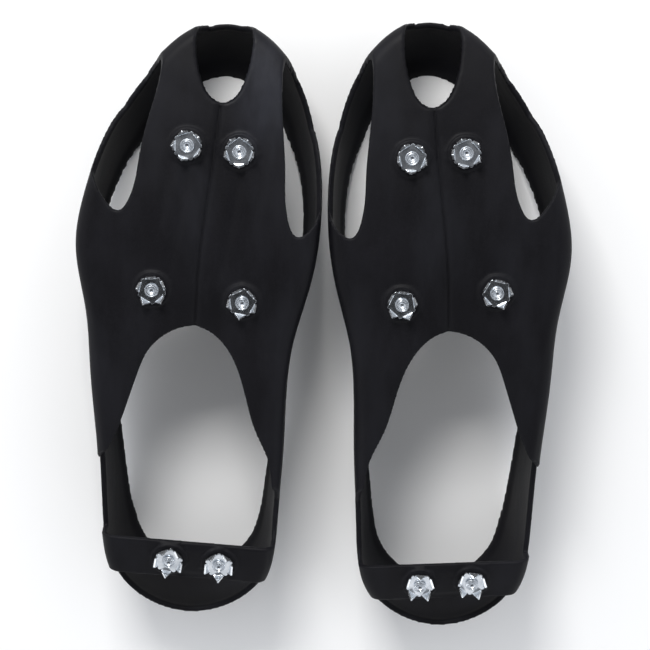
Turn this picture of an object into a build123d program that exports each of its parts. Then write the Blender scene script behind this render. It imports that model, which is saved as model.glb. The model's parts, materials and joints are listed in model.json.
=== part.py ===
from build123d import *

import os
from math import asin, cos, degrees, hypot, radians, sin, sqrt

# A pair of slip-on ice cleats, lying sole up. X runs across the pair, the right
# foot's cleat at -X and the left foot's at +X, +Y runs to the toes and +Z out of
# the soles. z = 0 is the surface that the toe bands and the heel rims rest on.
# Both cleats are drawn on the +X side and the right one is mirrored, so x counts
# outwards from the plane between the feet. All lengths are in millimetres.

# ---- overshoe: one stretched rubber moulding per foot ----
sole_z = 62.0
wall = 2.6
sole_edge_radius = 7.0
toe_spring_start = 40.0
toe_spring_radius = 400.0
toe_spring_angle = 22.0
heel_rise_start = -83.0
heel_rise_radius = 180.0
heel_rise_angle = 28.0
centre_x = 63.0

# the foot's outline at its widest level, from the toe tip round the outer side
toe_y = 163.0
heel_y = -154.5
foot_outline = [
    (52, toe_y), (70, 157), (86, 142), (106.5, 113), (118, 82), (124, 50), (119.3, 16),
    (117.3, -16), (114, -58), (112.3, -98), (105, -133), (66, heel_y), (27.5, -133),
    (20.7, -98), (18.2, -58), (14, 0), (5.2, 34), (1.6, 64), (5, 108), (21.5, 147),
]

# the form's levels: height, width factor, and how far the toe and heel reach
form_levels = [
    (-6.0, 0.74, 113.0, -144.0),
    (24.0, 0.975, 158.5, -153.0),
    (48.0, 1.00, toe_y, heel_y),
    (68.0, 0.97, 160.0, -151.5),
]

# the cutters' reach: right across a foot, past its toe and heel, and past a surface
inner_reach = -20.0
outer_reach = 140.0
beyond_toe = 200.0
beyond_heel = -190.0
overrun = 5.0

# the collar's rim
rim_arch_front = 94.0
rim_arch_back = -112.0
rim_arch_rise = 12.0

# windows: an outline through the sole, down to its shoulder, and one at the foot of
# the wall, drawn in towards the window's middle at its floor to round its corners
window_roof = 66.0
window_shoulder = 52.0
window_foot = 35.0
window_floor = 27.0
window_draw_in = 0.62
toe_window_middle = (52, 161)
toe_window = [
    (35, 181), (35.2, 154), (37.2, 140), (41, 129), (46.2, 122), (52, 120.4), (57.6, 123), (62.3, 130.3),
    (65.3, 140.5), (66.4, 154), (66.4, 181),
]
toe_window_foot = [
    (38.5, 181), (38.5, 158), (39, 149), (41, 141), (45.5, 134), (52, 130.5), (57.5, 134), (61.5, 141),
    (63.2, 149), (63.5, 158), (63.5, 181),
]
outer_window_middle = (100, 129)
outer_window = [
    (79.5, 156), (79.5, 142), (86.5, 116), (92, 92), (95.5, 76), (102.3, 67.3), (109, 73), (114.5, 84),
    (126, 102),
]
outer_window_foot = [
    (84.5, 156), (84.5, 142), (87, 125), (90, 115), (94, 108), (100, 105), (107, 107), (114.5, 113),
    (126, 125),
]
inner_window_middle = (10, 119)
inner_window = [
    (23.5, 156), (23.3, 138), (21.5, 110), (20, 88), (19.2, 70), (12.8, 56), (5, 62), (1.5, 71), (-6, 90),
]
inner_window_foot = [
    (18.5, 156), (18.5, 138), (18, 121), (17, 109), (15.5, 101), (11, 95), (5, 97), (1.5, 102), (-6, 115),
]

# the opening under the arch, the heel strap and the lowered walls beside and behind it
arch_outer_side = [(63.5, 10), (75, 7.2), (86.5, -2.5), (93, -17), (99, -35), (106, -53), (124, -72)]
arch_inner_side = [
    (63.5, 10), (52.5, 4.2), (43.5, -9), (38, -26), (32.5, -45), (26, -60), (23.5, -79), (21, -98),
]
arch_outer_corner = 60.0
arch_inner_corner = -41.5
strap_width = 21.0
strap_turn = 4.0
strap_middle_x = 66.0
side_wall_top = 46.0
inner_wall_x = 20.0
inner_slope_start = -70.0
outer_wall_x = 110.0
outer_slope_start = -52.0
slope_run = 18.0
slope_corner = 8.0
slope_cut_width = 50.0
heel_wall_top = 40.0
heel_corner = 7.0
heel_cut_length = 60.0

# ---- studs: a five-toothed plate turning on a hollow rivet, with an inner washer ----
boss_radius = 9.2
boss_height = 1.2
pocket_depth = 0.8
pocket_radius = 6.2
plate_thickness = 1.0
plate_gap = 0.25
plate_apothem = 6.1
plate_corner_radius = 4.0
tooth_count = 5
tooth_width = 5.4
tooth_length = 6.2
tooth_splay = 16.0
tooth_tip_width = 0.5
tooth_root = 0.2
shank_radius = 2.0
running_clearance = 0.06
head_radius = 3.35
head_height = 1.3
head_gap = 0.15
rim_height = 0.6
rim_roll = 0.4
bowl_radius = 2.35
bowl_lip = 0.3
bowl_depth = 1.2
tail_radius = 3.6
tail_height = 0.7
washer_radius = 6.0
washer_thickness = 0.8
washer_hole_radius = 2.1

# stud places on each foot: x outwards, y, and how far its plate is turned
right_studs = {
    "toe_outer": (68.0, 100.0, 36),
    "toe_inner": (42.5, 97.5, 54),
    "ball_outer": (85.0, 28.5, 23),
    "ball_inner": (40.0, 23.0, 44),
    "heel_outer": (76.5, -116.5, 42),
    "heel_inner": (50.5, -118.5, 52),
}
left_studs = {
    "toe_outer": (68.5, 99.5, 42),
    "toe_inner": (42.0, 96.5, 51),
    "ball_outer": (86.5, 31.0, 7),
    "ball_inner": (39.5, 24.0, 12),
    "heel_outer": (81.5, -126.0, 12),
    "heel_inner": (54.5, -128.0, 18),
}

# one record per foot: mirrored or not, how far its toe and heel are stretched, where
# its strap's middle is, and its studs
feet = {
    "right": {"mirrored": True, "stretch": (0.98, 1.0), "strap_y": -117.5, "studs": right_studs},
    "left": {"mirrored": False, "stretch": (1.0, 1.03), "strap_y": -127.0, "studs": left_studs},
}


def sole_drop(y):
    """How far the sole's surface falls away under the toes and behind the heel."""
    if y > toe_spring_start:
        return toe_spring_radius - sqrt(toe_spring_radius**2 - (y - toe_spring_start) ** 2)
    if y < heel_rise_start:
        return heel_rise_radius - sqrt(heel_rise_radius**2 - (heel_rise_start - y) ** 2)
    return 0.0


def sole_tilt(y):
    """The sole's slope at y, in degrees, as a turn about +X."""
    if y > toe_spring_start:
        return -degrees(asin((y - toe_spring_start) / toe_spring_radius))
    if y < heel_rise_start:
        return degrees(asin((heel_rise_start - y) / heel_rise_radius))
    return 0.0


def level_outline(width, toe, heel, inset):
    """The foot's outline at one level, moved inwards by inset."""
    points = []
    for x, y in foot_outline:
        reach = toe / toe_y if y > 0 else heel / heel_y
        points.append((centre_x + (x - centre_x) * width, y * reach))
    moved = []
    for i, (x, y) in enumerate(points):
        before = points[i - 1]
        after = points[(i + 1) % len(points)]
        run_x = after[0] - before[0]
        run_y = after[1] - before[1]
        run = hypot(run_x, run_y)
        moved.append((x + inset * run_y / run, y - inset * run_x / run))
    return moved


def foot_form(inset, stretch):
    """A solid foot, between the resting surface and the sole, shrunk by inset."""
    toe_stretch, heel_stretch = stretch
    top = sole_z - inset
    floor = 0 if inset == 0 else form_levels[0][0]
    with BuildPart() as form:
        for z, width, toe, heel in form_levels:
            with BuildSketch(Plane.XY.offset(z)):
                with BuildLine():
                    points = level_outline(width, toe * toe_stretch, heel * heel_stretch, inset)
                    Spline(points, periodic=True)
                make_face()
        loft()
        with BuildSketch(Plane.YZ.offset(inner_reach)):
            with BuildLine():
                heel_radius = heel_rise_radius - inset
                toe_radius = toe_spring_radius - inset
                heel_arc = JernArc((heel_rise_start, top), (-1, 0), heel_radius, heel_rise_angle)
                toe_arc = JernArc((toe_spring_start, top), (1, 0), toe_radius, -toe_spring_angle)
                Line((heel_rise_start, top), (toe_spring_start, top))
                Polyline(heel_arc @ 1, (beyond_heel, floor), (beyond_toe, floor), toe_arc @ 1)
            make_face()
        extrude(amount=outer_reach - inner_reach, mode=Mode.INTERSECT)
        side = form.faces().sort_by(SortBy.AREA)[-1]
        edge = side.edges().filter_by(lambda e: e.center().Z > sole_z / 2)
        fillet(edge, sole_edge_radius - inset)
    return form.part


def strap_plane(strap_y):
    """Across the heel strap: x is forwards, y is up, z runs along the strap."""
    along = (cos(radians(strap_turn)), sin(radians(strap_turn)), 0)
    forwards = (-sin(radians(strap_turn)), cos(radians(strap_turn)), 0)
    return Plane(origin=(strap_middle_x, strap_y, 0), x_dir=forwards, z_dir=along)


def stud_plane(x, y):
    """On the sole's surface at a stud, facing straight out of it."""
    tilt = sole_tilt(y)
    facing = (0, -sin(radians(tilt)), cos(radians(tilt)))
    return Plane(origin=(x, y, sole_z - sole_drop(y)), x_dir=(1, 0, 0), z_dir=facing)


def turned(plane, angle):
    """The same plane, turned about its own facing."""
    turn = radians(angle)
    return Plane(plane.origin, x_dir=plane.x_dir * cos(turn) + plane.y_dir * sin(turn), z_dir=plane.z_dir)


def window_outline(points, height, end_x):
    """A window's outline at one height, closed straight across, or out past the wall at end_x."""
    with BuildSketch(Plane.XY.offset(height)) as outline:
        with BuildLine():
            Spline(*points)
            corners = [] if end_x is None else [(end_x, points[-1][1]), (end_x, points[0][1])]
            Polyline(points[-1], *corners, points[0])
        make_face()
    return outline.sketch


def cut_window(at_roof, at_foot, middle, end_x=None):
    """Cut a window through the sole and down the wall; its ends lean in towards its floor."""
    at_floor = [
        (middle[0] + (x - middle[0]) * window_draw_in, middle[1] + (y - middle[1]) * window_draw_in)
        for x, y in at_foot
    ]
    levels = [
        window_outline(at_floor, window_floor, end_x),
        window_outline(at_foot, window_foot, end_x),
        window_outline(at_roof, window_shoulder, end_x),
        window_outline(at_roof, window_roof, end_x),
    ]
    loft(levels, ruled=True, mode=Mode.SUBTRACT)


def overshoe(stretch, strap_y, studs, mirrored):
    """The rubber moulding: sole panel, toe legs and band, wings, side walls, heel strap."""
    strap = strap_plane(strap_y)
    half_strap = strap_width / 2
    with BuildPart() as shoe:
        add(foot_form(0, stretch))
        add(foot_form(wall, stretch), mode=Mode.SUBTRACT)

        # the collar's rim rises along the sides
        with BuildSketch(Plane.YZ.offset(inner_reach)):
            with BuildLine():
                middle = (rim_arch_back + rim_arch_front) / 2
                front = (rim_arch_front, 0)
                back = (rim_arch_back, 0)
                ThreePointArc(back, (middle, rim_arch_rise), front)
                Polyline(front, (rim_arch_front, -overrun), (rim_arch_back, -overrun), back)
            make_face()
        extrude(amount=outer_reach - inner_reach, mode=Mode.SUBTRACT)

        # the window over the toe, and the two between the toe legs and the wings
        cut_window(toe_window, toe_window_foot, toe_window_middle)
        cut_window(outer_window, outer_window_foot, outer_window_middle, outer_reach)
        cut_window(inner_window, inner_window_foot, inner_window_middle, inner_reach)

        # the opening under the arch, as far as the heel strap
        with BuildSketch(Plane.XY.offset(side_wall_top)):
            with BuildLine():
                outer_side = Spline(*arch_outer_side)
                inner_side = Spline(*arch_inner_side)
                outer_corner = strap.from_local_coords((half_strap, 0, arch_outer_corner))
                inner_corner = strap.from_local_coords((half_strap, 0, arch_inner_corner))
                Polyline(outer_side @ 1, outer_corner, inner_corner, inner_side @ 1)
            make_face()
        extrude(amount=sole_z, mode=Mode.SUBTRACT)

        # the side walls come down to the same level, in a slope
        slopes = ((inner_wall_x, inner_slope_start), (outer_wall_x, outer_slope_start))
        for wall_x, slope_y in slopes:
            slope_start = strap.to_local_coords((wall_x, slope_y, 0)).X
            near = wall_x - strap_middle_x - slope_cut_width / 2
            with BuildSketch(strap.offset(near)) as lowered:
                with BuildLine():
                    Polyline(
                        (half_strap, sole_z + overrun),
                        (half_strap, side_wall_top),
                        (slope_start - slope_run, side_wall_top),
                        (slope_start, sole_z + overrun),
                        close=True,
                    )
                make_face()
                fillet(lowered.vertices().group_by(Axis.Y)[0], slope_corner)
            extrude(amount=slope_cut_width, mode=Mode.SUBTRACT)

        # and lower again all round the heel, behind the strap
        with BuildSketch(strap) as heel:
            with BuildLine():
                Polyline(
                    (-half_strap, sole_z + overrun),
                    (-half_strap, heel_wall_top),
                    (-heel_cut_length, heel_wall_top),
                    (-heel_cut_length, sole_z + overrun),
                    close=True,
                )
            make_face()
            fillet(heel.vertices().group_by(Axis.Y)[0].sort_by(Axis.X)[-1], heel_corner)
        extrude(amount=outer_reach / 2, both=True, mode=Mode.SUBTRACT)

        # a round boss under each stud plate, a pocket for its washer and the rivet's hole
        for x, y, _ in studs.values():
            seat = stud_plane(x, y)
            with BuildSketch(seat.offset(-wall / 2)):
                Circle(boss_radius)
            extrude(amount=wall / 2 + boss_height)
            with BuildSketch(seat.offset(-wall - overrun)):
                Circle(pocket_radius)
            extrude(amount=overrun + pocket_depth, mode=Mode.SUBTRACT)
            with BuildSketch(seat.offset(-wall - overrun)):
                Circle(shank_radius)
            extrude(amount=wall + boss_height + 2 * overrun, mode=Mode.SUBTRACT)
        if mirrored:
            mirror(about=Plane.YZ, mode=Mode.REPLACE)
    return shoe.part


def stud_plate(seat):
    """A pressed pentagon with a tooth bent up from each side, free to turn on the rivet."""
    with BuildPart() as plate:
        with BuildSketch(seat.offset(boss_height + plate_gap)) as blank:
            RegularPolygon(plate_apothem, tooth_count, major_radius=False, rotation=180 / tooth_count)
            fillet(blank.vertices(), plate_corner_radius)
            Circle(shank_radius + running_clearance, mode=Mode.SUBTRACT)
        extrude(amount=plate_thickness)
        for tooth in range(tooth_count):
            side = turned(seat.offset(boss_height + plate_gap), tooth * 360 / tooth_count)
            foot = side.from_local_coords((plate_apothem - plate_thickness / 2, 0, 0))
            lean = radians(tooth_splay)
            facing = side.x_dir * cos(lean) - side.z_dir * sin(lean)
            with BuildSketch(Plane(foot, x_dir=side.y_dir, z_dir=facing)):
                with BuildLine():
                    half_width = tooth_width / 2
                    half_tip = tooth_tip_width / 2
                    Polyline(
                        (-half_width, tooth_root),
                        (half_width, tooth_root),
                        (half_width, plate_thickness),
                        (half_tip, tooth_length),
                        (-half_tip, tooth_length),
                        (-half_width, plate_thickness),
                        close=True,
                    )
                make_face()
            extrude(amount=plate_thickness / 2, both=True)
    return plate.part


def rivet(seat):
    """A tubular rivet: rolled head with a bowl, shank, and a flat tail inside the shoe."""
    head_base = boss_height + plate_gap + plate_thickness + head_gap
    head_top = head_base + head_height
    rim = (head_radius, head_top - rim_height)
    lip = (bowl_radius, head_top - bowl_lip)
    bowl = (0, head_top - bowl_depth)
    with BuildPart() as body:
        with BuildSketch(Plane(seat.origin, x_dir=seat.x_dir, z_dir=-seat.y_dir)):
            with BuildLine():
                Polyline(
                    (0, -wall - tail_height),
                    (tail_radius, -wall - tail_height),
                    (tail_radius, -wall),
                    (shank_radius, -wall),
                    (shank_radius, head_base),
                    (head_radius, head_base),
                    rim,
                )
                ThreePointArc(rim, (head_radius - rim_roll, head_top), lip)
                TangentArc(bowl, lip, tangent=(1, 0))
                Line(bowl, (0, -wall - tail_height))
            make_face()
        revolve(axis=Axis(seat.origin, seat.z_dir))
    return body.part


def washer(seat):
    """The flat washer that spreads the rivet's pull, sunk in its pocket in the rubber."""
    with BuildPart() as ring:
        with BuildSketch(seat.offset(-wall)):
            Circle(washer_radius)
            Circle(washer_hole_radius, mode=Mode.SUBTRACT)
        extrude(amount=washer_thickness)
    return ring.part


def save(part, name):
    part.label = name
    export_step(part, f"parts/{name}.step")


os.makedirs("parts", exist_ok=True)
for foot, layout in feet.items():
    shoe = overshoe(layout["stretch"], layout["strap_y"], layout["studs"], layout["mirrored"])
    save(shoe, f"{foot}_rubber_overshoe")
    for stud, (x, y, turn) in layout["studs"].items():
        seat = stud_plane(-x if layout["mirrored"] else x, y)
        save(stud_plate(turned(seat, turn)), f"{foot}_{stud}_stud_plate")
        save(rivet(seat), f"{foot}_{stud}_rivet")
        save(washer(seat), f"{foot}_{stud}_washer")
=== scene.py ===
import json
import math

import bmesh
import bpy
import numpy as np
from mathutils import Matrix, Vector
from mathutils.bvhtree import BVHTree
from mathutils.kdtree import KDTree


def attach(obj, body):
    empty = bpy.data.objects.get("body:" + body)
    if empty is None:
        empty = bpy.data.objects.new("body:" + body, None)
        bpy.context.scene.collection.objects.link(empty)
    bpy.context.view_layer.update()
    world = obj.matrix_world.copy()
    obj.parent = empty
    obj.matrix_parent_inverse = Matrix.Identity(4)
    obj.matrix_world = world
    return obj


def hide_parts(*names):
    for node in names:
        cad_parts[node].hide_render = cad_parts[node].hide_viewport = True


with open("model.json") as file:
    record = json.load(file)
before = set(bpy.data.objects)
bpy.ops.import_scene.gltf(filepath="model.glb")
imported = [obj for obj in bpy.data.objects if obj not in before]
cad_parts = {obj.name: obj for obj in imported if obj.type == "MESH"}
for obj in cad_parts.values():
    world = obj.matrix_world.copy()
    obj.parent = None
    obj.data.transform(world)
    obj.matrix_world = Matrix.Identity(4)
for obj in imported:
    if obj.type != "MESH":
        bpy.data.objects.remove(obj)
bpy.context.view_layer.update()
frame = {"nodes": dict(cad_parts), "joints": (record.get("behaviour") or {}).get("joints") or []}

# A pair of slip-on rubber ice cleats, lying sole up. Lengths are in millimetres, and become
# metres where a mesh is made. Only the room, its lights and its camera are set out in metres.
MM = 0.001
FEET = ("right", "left")
SIDE = {"right": -1.0, "left": 1.0}

# the sole's height, the rubber's thickness, and how the sole curves away at both ends
SOLE_Z = 62.0
WALL = 2.6
TOE_SPRING_START = 40.0
TOE_SPRING_RADIUS = 400.0
HEEL_RISE_START = -83.0
HEEL_RISE_RADIUS = 180.0

# a stud's boss, and how high the middle of its plate lies over the rubber
BOSS_HEIGHT = 1.2
BOSS_RADIUS = 8.2
BOSS_DEPTH = 1.0
SEAT_TO_PLATE = 1.95
CLEARANCE = 0.05

# crown: the pressed plate with five bent teeth and rounded lobes between them
TEETH = 5
CROWN_THICKNESS = 1.0
CROWN_HOLE = 2.06
CROWN_EDGE = 0.36
BEND_START = 5.5
BEND_RADIUS = 0.9
BEND_ANGLE = 81.0
BEND_STEPS = 6
TOOTH_WIDTH = 5.2
TOOTH_TIP = 0.5
TOOTH_REACH = 4.7
TOOTH_STEPS = 8
TOOTH_COLUMNS = 9
PLATE_STEPS = 6
LOBE_RADIUS = 7.25
# angle from the tooth's middle, share of LOBE_RADIUS
LOBE = ((26.6, 0.90), (28.6, 0.95), (31.6, 0.985), (36.0, 1.0))

# rivet and washer, with heights over the seat
HEAD_BASE = 2.6
HEAD_TOP = 3.9
HEAD_RADIUS = 3.34
HEAD_FOOT = 0.5
HEAD_ROLL = 0.3
BOWL_LIP_RADIUS = 2.18
BOWL_LIP_ROLL = 0.2
BOWL_RADIUS = 2.31
BOWL_CENTRE = 1.0
SHANK_RADIUS = 2.0
TAIL_DEPTH = 0.7
TAIL_RADIUS = 3.25
TAIL_ROLL = 0.35
WASHER_HOLE = 2.1
WASHER_RADIUS = 6.0
WASHER_THICKNESS = 0.8
WASHER_EDGE = 0.18

# the rubber mesh's grain, and how it is lined up with the CAD solid's edges
RUBBER_VOXEL = 1.16
EDGE_STEP = 0.25
EDGE_SNAP = 1.6
SHARP_ANGLE = math.radians(30)
WALL_TOP = 45.0
WALL_PASSES = 24

# the centre crease from the arch to the toe window, with a soft lip on each side
CREASE_START = 10.0
CREASE_LENGTH = 110.5
CREASE_X = 63.5
CREASE_LEAN = 11.5
CREASE_PULL = 0.6
CREASE_REACH = 4.0
CREASE_DEPTH = 1.3
CREASE_WIDTH = 0.6
# the rubber is creased from y, to y, and fades out over the last length
CREASE_RUN = (9.0, 122.0, 5.0)
HOLLOW_DEPTH = 0.45
HOLLOW_WIDTH = 3.6
LIP_HEIGHT = 0.24
LIP_OFFSET = 2.4
LIP_WIDTH = 1.3

# lengthwise folds: how far out from the crease, how deep, from y, to y
FOLDS = (
    (13.0, 0.6, 37.0, 87.0),
    (-12.5, 0.65, 33.0, 85.0),
    (22.0, 0.3, 55.0, 99.0),
    (-24.0, 0.3, 63.0, 115.0),
)
FOLD_WIDTH = 2.6
FOLD_FADE = 26.0

# slow and fine swell of the sole: height, wavelength
SLOW_SWELL = (0.34, 62.0)
FINE_SWELL = (0.12, 21.0)

# the pad under the heel studs, and the collar's rim and bead
PAD_HALF_LENGTH = 23.0
PAD_HALF_WIDTH = 8.8
PAD_CORNER = 8.0
PAD_SOFTNESS = 2.2
PAD_HEIGHT = 0.5
RIM_MIDDLE = -9.0
RIM_HALF_SPAN = 103.0
RIM_RISE = 12.0
BEAD_HALF_WIDTH = 2.2
BEAD_HEIGHT = 0.9

# colours
RUBBER_DEEP = (0.0034, 0.0033, 0.0044)
RUBBER_LIGHT = (0.0054, 0.0052, 0.0068)
# pale bloom, also used on the right toe leg as a painted sheen
RUBBER_BLOOM_AND_SHEEN = (0.021, 0.022, 0.028)
RUBBER_GRAIN = (0.014, 0.014, 0.017)
# pale zinc painted on metal that faces sideways, a painted light; metal facing up keeps the darker tones,
# a painted shade
SIDEWAYS_ZINC_PAINTED_LIGHT = (0.84, 0.87, 0.90)
CROWN_DARK, CROWN_BRIGHT = (0.44, 0.47, 0.51), (0.62, 0.65, 0.69)
RIVET_DARK, RIVET_BRIGHT = (0.30, 0.33, 0.37), (0.44, 0.47, 0.51)
WASHER_DARK, WASHER_BRIGHT = (0.42, 0.43, 0.44), (0.60, 0.61, 0.62)
FLOOR_DARK, FLOOR_BRIGHT = (0.93,) * 3, (0.96,) * 3

# the stretch of the right toe leg where the rubber shines, and where its colour is painted paler as a
# sheen: centre and half sizes
SHINY_CENTRE = (-34.0, 129.0, 58.0)
SHINY_SIZE = (20.0, 42.0, 40.0)

# the studio fades from bright walls to a dark ceiling, tilted back from overhead:
# cosine of the angle from the ceiling's middle, strength
DARK_TILT = math.radians(14.0)
CEILING = (0.98, 0.02)
WALLS = (0.45, 1.3)

# the camera and the floor, in metres
CAMERA_AIM = (0.0015, 0.012, 0.062)
CAMERA_TILT = math.radians(15.0)
CAMERA_ROLL = math.radians(1.4)
CAMERA_DISTANCE = 0.9
CAMERA_LENS = 99.7
FLOOR_HALF = 4.0


# ------------------------------------------------------------------ materials
class Graph:
    """A material's node tree, with short calls to add and join nodes."""

    def __init__(self, name):
        self.material = bpy.data.materials.new(name)
        self.material.use_nodes = True
        self.tree = self.material.node_tree
        self.shader = self.tree.nodes["Principled BSDF"]
        self.place = self.add("ShaderNodeTexCoord").outputs["Object"]

    def add(self, kind, **settings):
        node = self.tree.nodes.new(kind)
        for key, value in settings.items():
            setattr(node, key, value)
        return node

    def join(self, output, socket):
        self.tree.links.new(output, socket)

    def noise(self, scale, detail=4.0, roughness=0.55, stretch=None):
        node = self.add("ShaderNodeTexNoise")
        node.inputs["Scale"].default_value = scale
        node.inputs["Detail"].default_value = detail
        node.inputs["Roughness"].default_value = roughness
        self.join(self.stretched(stretch) if stretch else self.place, node.inputs["Vector"])
        return node.outputs["Fac"]

    def stretched(self, scale):
        node = self.add("ShaderNodeMapping")
        node.inputs["Scale"].default_value = scale
        self.join(self.place, node.inputs["Vector"])
        return node.outputs["Vector"]

    def ramp(self, value, low, high, low_at=0.35, high_at=0.65):
        node = self.add("ShaderNodeMapRange")
        node.inputs["From Min"].default_value = low_at
        node.inputs["From Max"].default_value = high_at
        node.inputs["To Min"].default_value = low
        node.inputs["To Max"].default_value = high
        self.join(value, node.inputs["Value"])
        return node.outputs["Result"]

    def mix(self, factor, a, b):
        node = self.add("ShaderNodeMix", data_type="RGBA")
        self.join(factor, node.inputs["Factor"])
        colours = [socket for socket in node.inputs if socket.type == "RGBA"]
        for value, socket in zip((a, b), colours):
            if isinstance(value, bpy.types.NodeSocket):
                self.join(value, socket)
            else:
                socket.default_value = (*value, 1.0)
        return next(socket for socket in node.outputs if socket.type == "RGBA")

    def math(self, operation, a, b):
        node = self.add("ShaderNodeMath", operation=operation)
        for value, socket in ((a, node.inputs[0]), (b, node.inputs[1])):
            if isinstance(value, bpy.types.NodeSocket):
                self.join(value, socket)
            else:
                socket.default_value = value
        return node.outputs[0]

    def bump(self, height, strength, distance, under=None):
        node = self.add("ShaderNodeBump")
        node.inputs["Strength"].default_value = strength
        node.inputs["Distance"].default_value = distance
        self.join(height, node.inputs["Height"])
        if under is not None:
            self.join(under, node.inputs["Normal"])
        return node.outputs["Normal"]


def ball_mask(graph, centre, size, soft=0.35):
    """1 inside an ellipsoid, fading to 0 outside it. centre and size are in millimetres."""
    node = graph.add("ShaderNodeMapping", vector_type="TEXTURE")
    node.inputs["Location"].default_value = [c * MM for c in centre]
    node.inputs["Scale"].default_value = [s * MM for s in size]
    graph.join(graph.place, node.inputs["Vector"])
    reach = graph.add("ShaderNodeVectorMath", operation="LENGTH")
    graph.join(node.outputs["Vector"], reach.inputs[0])
    return graph.ramp(reach.outputs["Value"], 1.0, 0.0, soft, 1.0)


def rubber_material():
    """Black rubber with pale, lengthwise smears and a fine grain, shiny on one toe leg, where a paler
    sheen is also painted into its colour.
    """
    graph = Graph("black_rubber")
    shader = graph.shader
    cloud = graph.noise(22.0, 3.0)
    smear = graph.noise(34.0, 5.0, 0.62, stretch=(1.0, 0.32, 1.0))
    grain = graph.noise(1500.0, 2.0, 0.6)

    tone = graph.mix(graph.ramp(cloud, 0.0, 1.0), RUBBER_DEEP, RUBBER_LIGHT)
    shiny_leg = ball_mask(graph, SHINY_CENTRE, SHINY_SIZE)
    bloom_and_sheen = graph.math("MULTIPLY", graph.ramp(smear, 0.0, 1.0, 0.42, 0.72), 0.30)
    # paler colour on the right toe leg: partly bloom, partly a painted sheen
    leg_bloom_and_sheen = graph.math("MULTIPLY", shiny_leg, graph.ramp(smear, 0.15, 1.0, 0.3, 0.7))
    bloom_and_sheen = graph.math("ADD", bloom_and_sheen, leg_bloom_and_sheen)
    tone = graph.mix(bloom_and_sheen, tone, RUBBER_BLOOM_AND_SHEEN)
    tone = graph.mix(graph.ramp(grain, 0.0, 0.25, 0.45, 0.75), tone, RUBBER_GRAIN)
    graph.join(tone, shader.inputs["Base Color"])

    rough = graph.math("ADD", graph.ramp(smear, 0.52, 0.62), graph.ramp(grain, -0.03, 0.04))
    rough = graph.math("SUBTRACT", rough, graph.math("MULTIPLY", shiny_leg, 0.14))
    graph.join(rough, shader.inputs["Roughness"])
    shader.inputs["Specular IOR Level"].default_value = 0.11

    wrinkles = graph.noise(150.0, 4.0, 0.6, stretch=(1.0, 0.25, 1.0))
    normal = graph.bump(smear, 0.12, 0.0006)
    normal = graph.bump(graph.math("MULTIPLY", wrinkles, shiny_leg), 0.35, 0.0006, normal)
    normal = graph.bump(grain, 0.12, 0.00015, normal)
    graph.join(normal, shader.inputs["Normal"])
    return graph.material


def zinc_material(name, dark, bright, roughness, flat_metallic=0.94, bent_metallic=0.94):
    """Bright zinc plate: grey-blue and softly clouded, with flats shinier than bent metal; metal facing up
    is painted darker and metal facing sideways a pale zinc, as painted shade and painted light.
    """
    graph = Graph(name)
    shader = graph.shader
    cloud = graph.noise(180.0, 3.0)
    fine = graph.noise(1400.0, 2.0, 0.5)
    facing = graph.add("ShaderNodeSeparateXYZ")
    graph.join(graph.add("ShaderNodeNewGeometry").outputs["Normal"], facing.inputs[0])
    # painted light and shade: metal facing up gets the darker clouded tone, metal facing sideways the pale
    # zinc
    flat = graph.ramp(facing.outputs["Z"], 0.0, 1.0, 0.62, 0.94)
    tone = graph.mix(graph.ramp(cloud, 0.0, 1.0), dark, bright)
    graph.join(graph.mix(flat, SIDEWAYS_ZINC_PAINTED_LIGHT, tone), shader.inputs["Base Color"])
    graph.join(graph.ramp(flat, bent_metallic, flat_metallic, 0.0, 1.0), shader.inputs["Metallic"])
    soft = graph.ramp(cloud, roughness, roughness + 0.05)
    rough = graph.math("ADD", soft, graph.ramp(fine, -0.02, 0.03))
    graph.join(rough, shader.inputs["Roughness"])
    graph.join(graph.bump(fine, 0.04, 0.00002), shader.inputs["Normal"])
    return graph.material


def floor_material():
    graph = Graph("pale_floor")
    tone = graph.mix(graph.noise(6.0), FLOOR_DARK, FLOOR_BRIGHT)
    graph.join(tone, graph.shader.inputs["Base Color"])
    graph.shader.inputs["Roughness"].default_value = 0.8
    graph.shader.inputs["Specular IOR Level"].default_value = 0.1
    return graph.material


# ------------------------------------------------------------------ places
def joint_of(foot, stud):
    name = f"{foot}_{stud}_plate_turn"
    return next(joint for joint in frame["joints"] if joint["name"] == name)


def stud_names():
    """The six studs of a foot, from the names of the right foot's joints."""
    names = [joint["name"] for joint in frame["joints"] if joint["name"].startswith("right_")]
    return [name.removeprefix("right_").removesuffix("_plate_turn") for name in names]


STUDS = stud_names()


def seat_of(foot, stud, turn=0.0):
    """A stud's place on the sole's surface: x across, z straight out of the rubber."""
    joint = joint_of(foot, stud)
    out = Vector(joint["axis"]).normalized()
    across = Vector((1, 0, 0))
    forwards = out.cross(across)
    origin = Vector(joint["pos_m"]) - out * SEAT_TO_PLATE * MM
    axes = Matrix((across, forwards, out)).transposed().to_4x4()
    return Matrix.Translation(origin) @ axes @ Matrix.Rotation(turn, 4, "Z")


def tooth_turn(foot, stud):
    """How far the plate is turned on its rivet, from the places of its five tooth tips."""
    to_seat = seat_of(foot, stud).inverted()
    local = [to_seat @ v.co for v in frame["nodes"][f"{foot}_{stud}_stud_plate"].data.vertices]
    top = max(p.z for p in local)
    tips = [TEETH * math.atan2(p.y, p.x) for p in local if p.z > 0.95 * top]
    return math.atan2(sum(map(math.sin, tips)), sum(map(math.cos, tips))) / TEETH


def sole_drop(y):
    """How far the sole's surface falls away under the toes and behind the heel."""
    toe = TOE_SPRING_RADIUS - np.sqrt(TOE_SPRING_RADIUS**2 - np.maximum(y - TOE_SPRING_START, 0) ** 2)
    heel = HEEL_RISE_RADIUS - np.sqrt(HEEL_RISE_RADIUS**2 - np.maximum(HEEL_RISE_START - y, 0) ** 2)
    return toe + heel


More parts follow.
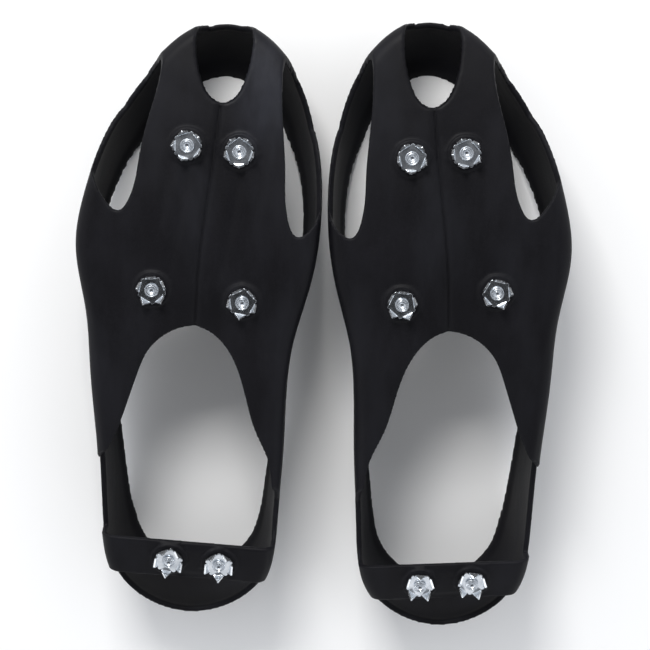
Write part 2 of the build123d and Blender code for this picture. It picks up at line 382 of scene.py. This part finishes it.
# ------------------------------------------------------------------ mesh helpers
def new_piece(name, mesh, body, replaces, material):
    piece = bpy.data.objects.new(name, mesh)
    bpy.context.scene.collection.objects.link(piece)
    mesh.materials.clear()
    mesh.materials.append(material)
    mesh.polygons.foreach_set("use_smooth", [True] * len(mesh.polygons))
    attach(piece, body)
    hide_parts(replaces)
    return piece


def lathe(name, profile, place, steps=72):
    """A closed ring of profile points (radius, height) in millimetres, turned round the seat's axis."""
    shape = bmesh.new()
    rings = []
    for radius, height in profile:
        if radius < 1e-6:
            rings.append([shape.verts.new((0, 0, height * MM))])
            continue
        ring = []
        for i in range(steps):
            angle = 2 * math.pi * i / steps
            x, y = radius * MM * math.cos(angle), radius * MM * math.sin(angle)
            ring.append(shape.verts.new((x, y, height * MM)))
        rings.append(ring)
    closed = len(rings[0]) > 1 and len(rings[-1]) > 1
    pairs = list(zip(rings, rings[1:])) + ([(rings[-1], rings[0])] if closed else [])
    for lower, upper in pairs:
        for i in range(steps):
            here = [lower[i % len(lower)], lower[(i + 1) % len(lower)]]
            there = [upper[(i + 1) % len(upper)], upper[i % len(upper)]]
            shape.faces.new(list(dict.fromkeys(here + there)))
    bmesh.ops.recalc_face_normals(shape, faces=shape.faces)
    shape.transform(place)
    mesh = bpy.data.meshes.new(name)
    shape.to_mesh(mesh)
    shape.free()
    return mesh


def arc(centre, radius, start, end, steps):
    """Points on an arc, angles in degrees."""
    angles = np.radians(np.linspace(start, end, steps + 1))
    return [(centre[0] + radius * math.cos(a), centre[1] + radius * math.sin(a)) for a in angles]


# ------------------------------------------------------------------ studs
def around(radius, degrees):
    """A place on the plate, from its middle."""
    angle = math.radians(degrees)
    return Vector((radius * math.cos(angle), radius * math.sin(angle), 0))


def bent_tooth(y):
    """One column of a tooth: round the bend, then straight up, drawn in towards the tip."""
    column = []
    for step in range(1, BEND_STEPS + 1):
        a = math.radians(BEND_ANGLE * step / BEND_STEPS)
        column.append((BEND_START + BEND_RADIUS * math.sin(a), y, BEND_RADIUS * (1 - math.cos(a))))
    foot_x, _, foot_z = column[-1]
    a = math.radians(BEND_ANGLE)
    for step in range(1, TOOTH_STEPS + 1):
        share = step / TOOTH_STEPS
        width = 1 + (TOOTH_TIP / TOOTH_WIDTH - 1) * share
        along = TOOTH_REACH * share
        column.append((foot_x + along * math.cos(a), y * width, foot_z + along * math.sin(a)))
    return column


def crown_outline():
    """One fifth of the flat plate's edge: whether a tooth stands there, and the place."""
    half = TOOTH_WIDTH / 2
    outline = [(False, around(reach * LOBE_RADIUS, -angle)) for angle, reach in reversed(LOBE)]
    outline += [(True, Vector((BEND_START, y, 0))) for y in np.linspace(-half, half, TOOTH_COLUMNS)]
    outline += [(False, around(reach * LOBE_RADIUS, angle)) for angle, reach in LOBE[:-1]]
    return outline


def crown_surface(place):
    """The middle surface of a crown: a flat plate with its five teeth bent up."""
    shape = bmesh.new()
    outline = crown_outline()
    sector = 360 / TEETH
    ring = []
    for tooth in range(TEETH):
        spin = Matrix.Rotation(math.radians(sector * tooth), 3, "Z")
        for index, (toothed, outer) in enumerate(outline):
            inner = around(CROWN_HOLE, sector * (index / len(outline) - 0.5))
            line = [inner.lerp(outer, i / PLATE_STEPS) for i in range(PLATE_STEPS + 1)]
            if toothed:
                line += [Vector(point) for point in bent_tooth(outer.y)]
            ring.append((toothed, [shape.verts.new(spin @ point) for point in line]))
    for (toothed_a, a), (toothed_b, b) in zip(ring, ring[1:] + ring[:1]):
        length = len(a) if toothed_a and toothed_b else PLATE_STEPS + 1
        for i in range(length - 1):
            shape.faces.new((a[i], a[i + 1], b[i + 1], b[i]))
    bmesh.ops.recalc_face_normals(shape, faces=shape.faces)
    bmesh.ops.scale(shape, vec=(MM, MM, MM), verts=shape.verts)
    shape.transform(place @ Matrix.Translation((0, 0, SEAT_TO_PLATE * MM)))
    mesh = bpy.data.meshes.new("crown")
    shape.to_mesh(mesh)
    shape.free()
    return mesh


def make_crown(foot, stud, material):
    mesh = crown_surface(seat_of(foot, stud, tooth_turn(foot, stud)))
    name = f"{foot}_{stud}"
    piece = new_piece(f"{name}_crown", mesh, f"{name}_plate", f"{name}_stud_plate", material)
    thick = piece.modifiers.new("thickness", "SOLIDIFY")
    thick.thickness = CROWN_THICKNESS * MM
    thick.offset = 0.0
    thick.use_even_offset = True
    thick.use_quality_normals = True
    edge = piece.modifiers.new("rounded_edges", "BEVEL")
    edge.width = CROWN_EDGE * MM
    edge.segments = 3
    edge.limit_method = "ANGLE"
    edge.angle_limit = math.radians(40)
    edge.use_clamp_overlap = True
    piece.modifiers.new("even_shading", "WEIGHTED_NORMAL")


def make_rivet(foot, stud, material):
    """A tubular rivet, from its tail inside the shoe to the bowl in its rolled head."""
    tail = -WALL - TAIL_DEPTH
    rolled = HEAD_RADIUS - HEAD_ROLL
    profile = [(0.0, tail + 0.35), (1.0, tail + 0.33), (1.35, tail + 0.12)]
    profile += arc((1.9, tail + 0.28), 0.3, -150, -90, 3)
    profile += arc((TAIL_RADIUS, tail + TAIL_ROLL), TAIL_ROLL, -90, 90, 8)
    profile += [(SHANK_RADIUS + 0.15, -WALL), (SHANK_RADIUS, -WALL + 0.2)]
    profile += [(SHANK_RADIUS, HEAD_BASE - 0.1), (SHANK_RADIUS + 0.1, HEAD_BASE)]
    profile += arc((HEAD_RADIUS - HEAD_FOOT, HEAD_BASE + HEAD_FOOT), HEAD_FOOT, -90, 0, 8)
    profile += arc((rolled, HEAD_TOP - HEAD_ROLL), HEAD_ROLL, 0, 150, 12)
    profile += [(rolled - 0.34, HEAD_TOP - 0.26), (rolled - 0.59, HEAD_TOP - 0.28)]
    profile += arc((BOWL_LIP_RADIUS, HEAD_TOP - 0.24), BOWL_LIP_ROLL, 40, 170, 8)
    profile += arc((0.0, HEAD_TOP + BOWL_CENTRE), BOWL_RADIUS, -31.2, -90, 16)
    mesh = lathe("rivet", profile, seat_of(foot, stud))
    name = f"{foot}_{stud}"
    new_piece(f"{name}_tubular_rivet", mesh, "pair", f"{name}_rivet", material)


def make_washer(foot, stud, material):
    """A flat washer with rounded corners, on the inside of the rubber."""
    low, high = -WALL + WASHER_EDGE, -WALL + WASHER_THICKNESS - WASHER_EDGE
    inner, outer = WASHER_HOLE + WASHER_EDGE, WASHER_RADIUS - WASHER_EDGE
    profile = []
    for quarter, corner in enumerate(((outer, low), (outer, high), (inner, high), (inner, low))):
        profile += arc(corner, WASHER_EDGE, 90 * quarter - 90, 90 * quarter, 4)
    mesh = lathe("washer", profile, seat_of(foot, stud), 64)
    name = f"{foot}_{stud}"
    new_piece(f"{name}_flat_washer", mesh, "pair", f"{name}_washer", material)


# ------------------------------------------------------------------ rubber
def remeshed(node):
    """A CAD node's mesh in even squares, with trees to look up its surface and its sharp edges."""
    copy = bpy.data.objects.new("rubber_copy", node.data.copy())
    bpy.context.scene.collection.objects.link(copy)
    shape = bmesh.new()
    shape.from_mesh(copy.data)
    bmesh.ops.remove_doubles(shape, verts=shape.verts, dist=1e-7)
    surface = BVHTree.FromBMesh(shape)
    corners = sharp_edges(shape)
    shape.to_mesh(copy.data)
    shape.free()
    remesh = copy.modifiers.new("even_squares", "REMESH")
    remesh.mode = "VOXEL"
    remesh.voxel_size = RUBBER_VOXEL * MM
    graph = bpy.context.evaluated_depsgraph_get()
    mesh = bpy.data.meshes.new_from_object(copy.evaluated_get(graph))
    bpy.data.objects.remove(copy)
    return mesh, surface, corners


def sharp_edges(shape):
    """Places along a mesh's sharp edges, EDGE_STEP apart, in millimetres."""
    places = []
    for edge in shape.edges:
        if len(edge.link_faces) == 2 and edge.calc_face_angle() > SHARP_ANGLE:
            start, end = (vertex.co for vertex in edge.verts)
            steps = max(1, math.ceil((end - start).length / (EDGE_STEP * MM)))
            places += [start.lerp(end, step / steps) for step in range(steps)]
    return np.array(places) / MM


def pulled_back(points, surface):
    """Every point moved to the nearest place on the CAD surface."""
    return np.array([surface.find_nearest(Vector(point))[0] for point in points * MM]) / MM


def fitted(points, edges, surface, corners):
    """Points spread evenly over the CAD surface, with a row of them along each sharp edge."""
    for passes in (6, 4, 3):
        points = pulled_back(relax(points, edges, passes), surface)
    for _ in range(3):
        tree = KDTree(len(points))
        for index, point in enumerate(points):
            tree.insert(point, index)
        tree.balance()
        # each place along an edge claims the point nearest to it
        held = {}
        for corner in corners:
            _, index, reach = tree.find(corner)
            if reach < held.get(index, (EDGE_SNAP, None))[0]:
                held[index] = (reach, corner)
        rows = list(held)
        places = np.array([corner for _, corner in held.values()])
        for _ in range(3):
            points[rows] = places
            points = pulled_back(relax(points, edges, 1, 0.6, 0), surface)
        points[rows] = places
    return points


def read_points(mesh):
    """A mesh's points as rows of x, y and z in millimetres."""
    points = np.zeros(len(mesh.vertices) * 3)
    mesh.vertices.foreach_get("co", points)
    return points.reshape(-1, 3) / MM


def write_points(mesh, points):
    mesh.vertices.foreach_set("co", (points * MM).ravel())
    mesh.update()


def read_normals(mesh):
    normals = np.zeros(len(mesh.vertices) * 3)
    mesh.vertex_normals.foreach_get("vector", normals)
    return normals.reshape(-1, 3)


def relax(points, edges, passes, shrink=0.5, grow=-0.53):
    """Evens out the surface, and grows it back after each pass so that walls keep their thickness."""
    a, b = edges[:, 0], edges[:, 1]
    size = len(points)
    count = np.bincount(a, minlength=size) + np.bincount(b, minlength=size)
    for _ in range(passes):
        for factor in (shrink, grow):
            if factor == 0:
                continue
            total = np.zeros_like(points)
            for k in range(3):
                total[:, k] = np.bincount(a, points[b, k], size) + np.bincount(b, points[a, k], size)
            points = points + factor * (total / count[:, None] - points)
    return points


def bell(distance, width):
    """1 at no distance, fading smoothly to 0 over about two widths."""
    return np.exp(-((distance / width) ** 2))


def between(value, low, high, soft):
    """1 where value lies between low and high, fading out over soft."""
    rise = np.clip((value - low) / soft + 0.5, 0, 1)
    fall = np.clip((high - value) / soft + 0.5, 0, 1)
    return (rise * rise * (3 - 2 * rise)) * (fall * fall * (3 - 2 * fall))


def waves(points, seed, wavelength):
    """A smooth, fixed, uneven swell between about -1 and 1."""
    rng = np.random.default_rng(seed)
    total = np.zeros(len(points))
    for _ in range(7):
        heading = rng.normal(size=3)
        heading *= 2 * math.pi / (wavelength * rng.uniform(0.7, 1.6)) / np.linalg.norm(heading)
        total += np.sin(points @ heading + rng.uniform(0, 2 * math.pi))
    return total / 4.0


def crease_x(y):
    """The centre crease, from the toe window to the arch, in x outwards."""
    share = (y - CREASE_START) / CREASE_LENGTH
    return CREASE_X - CREASE_LEAN * share + 1.6 * np.sin(math.pi * share) + 0.5 * np.sin(7.0 * share)


def heel_pad(points, foot):
    """1 on the soft rounded pad that carries both heel studs, fading to 0 round it."""
    inner = np.array(seat_of(foot, "heel_inner").translation) / MM
    outer = np.array(seat_of(foot, "heel_outer").translation) / MM
    along = (outer - inner) / np.linalg.norm(outer - inner)
    across = np.cross(np.array(joint_of(foot, "heel_inner")["axis"]), along)
    offset = points - (inner + outer) / 2
    past_end = np.maximum(np.abs(offset @ along) - PAD_HALF_LENGTH + PAD_CORNER, 0)
    past_side = np.maximum(np.abs(offset @ across) - PAD_HALF_WIDTH + PAD_CORNER, 0)
    share = np.clip((PAD_CORNER - np.hypot(past_end, past_side)) / PAD_SOFTNESS, 0, 1)
    return share * share * (3 - 2 * share)


def rim_height(y):
    """The collar's rim, which arches up along the sides."""
    radius = (RIM_HALF_SPAN**2 + RIM_RISE**2) / (2 * RIM_RISE)
    along = np.clip(y - RIM_MIDDLE, -RIM_HALF_SPAN, RIM_HALF_SPAN)
    return np.maximum(RIM_RISE - radius + np.sqrt(radius**2 - along**2), 0)


def shape_rubber(points, normals, foot):
    """Moves the rubber's surface: crease, folds, heel pad, swell, and a bead round the collar."""
    x = points[:, 0] * SIDE[foot]
    y, z = points[:, 1], points[:, 2]
    height = z - (SOLE_Z - sole_drop(y))
    outer = between(height, -1.1, 6.0, 0.8) * np.clip((normals[:, 2] - 0.5) / 0.3, 0, 1)

    # points near the crease are drawn in to it, so that it stays a clean line
    away = x - crease_x(y)
    run = outer * between(y, *CREASE_RUN)
    shift = -CREASE_PULL * away * np.clip(1 - np.abs(away) / CREASE_REACH, 0, 1) * run
    points = points + np.outer(shift * SIDE[foot], (1, 0, 0))
    away = away + shift

    move = -run * (CREASE_DEPTH * bell(away, CREASE_WIDTH) + HOLLOW_DEPTH * bell(away, HOLLOW_WIDTH))
    lips = bell(away - LIP_OFFSET, LIP_WIDTH) + bell(away + LIP_OFFSET, LIP_WIDTH)
    move += run * LIP_HEIGHT * lips
    for offset, depth, low, high in FOLDS:
        wander = 1.2 * np.sin(y / 17.0)
        move -= outer * between(y, low, high, FOLD_FADE) * depth * bell(away - offset - wander, FOLD_WIDTH)
    for (size, wavelength), seed in ((SLOW_SWELL, 11), (FINE_SWELL, 5 if foot == "left" else 8)):
        move += size * waves(points, seed, wavelength) * outer
    move += PAD_HEIGHT * heel_pad(points, foot) * outer
    move += BEAD_HEIGHT * bell(z - rim_height(y) - BEAD_HALF_WIDTH, BEAD_HALF_WIDTH)
    moved = points + normals * move[:, None]
    moved[:, 2] = np.maximum(moved[:, 2], 0)
    return moved


def seat_rubber(points, foot):
    """Flattens the boss under each crown, so that the crown clears it all the way round."""
    for stud in STUDS:
        to_seat = np.array(seat_of(foot, stud).inverted())
        local = points @ to_seat[:3, :3].T + to_seat[:3, 3] / MM
        radius = np.hypot(local[:, 0], local[:, 1])
        near = (radius < BOSS_RADIUS) & (local[:, 2] > -BOSS_DEPTH)
        lowered = np.minimum(local[:, 2], BOSS_HEIGHT - CLEARANCE)
        shift = np.where(near, lowered - local[:, 2], 0.0)
        out = np.array(seat_of(foot, stud).col[2][:3])
        points = points + shift[:, None] * out
    return points


def make_overshoe(foot, material):
    """The CAD overshoe in even squares, smoothed and given the rubber's creases and swells."""
    node = frame["nodes"][f"{foot}_rubber_overshoe"]
    mesh, surface, corners = remeshed(node)
    edges = np.zeros(len(mesh.edges) * 2, dtype=np.int64)
    mesh.edges.foreach_get("vertices", edges)
    edges = edges.reshape(-1, 2)
    points = fitted(read_points(mesh), edges, surface, corners)
    write_points(mesh, relax(points, edges, 4))
    write_points(mesh, shape_rubber(read_points(mesh), read_normals(mesh), foot))
    points = relax(read_points(mesh), edges, 1)
    points = np.where(points[:, 2:] < WALL_TOP, relax(points, edges, WALL_PASSES), points)
    points[:, 2] = np.maximum(points[:, 2], 0)
    write_points(mesh, seat_rubber(points, foot))
    new_piece(f"{foot}_rubber_shell", mesh, "pair", f"{foot}_rubber_overshoe", material)


# ------------------------------------------------------------------ room
def make_floor(material):
    mesh = bpy.data.meshes.new("floor")
    shape = bmesh.new()
    bmesh.ops.create_grid(shape, x_segments=1, y_segments=1, size=FLOOR_HALF)
    shape.to_mesh(mesh)
    shape.free()
    mesh.materials.append(material)
    floor = bpy.data.objects.new("floor", mesh)
    bpy.context.scene.collection.objects.link(floor)


def area_light(name, place, aim, width, height, power, tint=(1, 1, 1)):
    light = bpy.data.lights.new(name, "AREA")
    light.shape = "RECTANGLE"
    light.size = width
    light.size_y = height
    light.energy = power
    light.color = tint
    lamp = bpy.data.objects.new(name, light)
    bpy.context.scene.collection.objects.link(lamp)
    lamp.location = place
    lamp.rotation_euler = (Vector(aim) - Vector(place)).to_track_quat("-Z", "Y").to_euler()


def make_camera():
    up = Vector((-math.sin(CAMERA_ROLL), math.cos(CAMERA_ROLL), 0))
    back = up * math.sin(CAMERA_TILT) + Vector((0, 0, math.cos(CAMERA_TILT)))
    right = up.cross(back).normalized()
    true_up = back.cross(right)
    data = bpy.data.cameras.new("camera")
    data.lens = CAMERA_LENS
    data.sensor_width = 36.0
    camera = bpy.data.objects.new("camera", data)
    bpy.context.scene.collection.objects.link(camera)
    axes = Matrix((right, true_up, back)).transposed().to_4x4()
    place = Vector(CAMERA_AIM) + back * CAMERA_DISTANCE
    camera.matrix_world = Matrix.Translation(place) @ axes
    bpy.context.scene.camera = camera


def make_room():
    make_floor(floor_material())
    make_camera()
    make_world()
    middle = (0, 0, 0.03)
    area_light("key", (-0.25, 1.0, 0.85), middle, 0.5, 0.35, 14, (1.0, 0.99, 0.97))
    area_light("low", (0.1, -1.05, 0.95), middle, 1.3, 0.5, 1.7)
    bpy.context.scene.view_settings.view_transform = "Standard"


def make_world():
    """A studio's walls: bright low down, and dark overhead where the flat metal looks."""
    world = bpy.data.worlds.new("studio")
    bpy.context.scene.world = world
    world.use_nodes = True
    tree = world.node_tree
    place = tree.nodes.new("ShaderNodeTexCoord")
    toward_dark = tree.nodes.new("ShaderNodeVectorMath")
    toward_dark.operation = "DOT_PRODUCT"
    toward_dark.inputs[1].default_value = (0, -math.sin(DARK_TILT), math.cos(DARK_TILT))
    fade = tree.nodes.new("ShaderNodeMapRange")
    fade.inputs["From Min"].default_value, fade.inputs["To Min"].default_value = WALLS
    fade.inputs["From Max"].default_value, fade.inputs["To Max"].default_value = CEILING
    tree.links.new(place.outputs["Generated"], toward_dark.inputs[0])
    tree.links.new(toward_dark.outputs["Value"], fade.inputs["Value"])
    background = tree.nodes["Background"]
    background.inputs["Color"].default_value = (0.94, 0.96, 1.0, 1)
    tree.links.new(fade.outputs["Result"], background.inputs["Strength"])


# ------------------------------------------------------------------ everything
make_room()
rubber = rubber_material()
crown_zinc = zinc_material("crown_zinc", CROWN_DARK, CROWN_BRIGHT, 0.17, 0.97, 0.90)
rivet_zinc = zinc_material("rivet_zinc", RIVET_DARK, RIVET_BRIGHT, 0.22, 0.96, 0.96)
washer_zinc = zinc_material("washer_zinc", WASHER_DARK, WASHER_BRIGHT, 0.30)
for foot in FEET:
    make_overshoe(foot, rubber)
    for stud in STUDS:
        make_crown(foot, stud, crown_zinc)
        make_rivet(foot, stud, rivet_zinc)
        make_washer(foot, stud, washer_zinc)

bpy.context.view_layer.update()
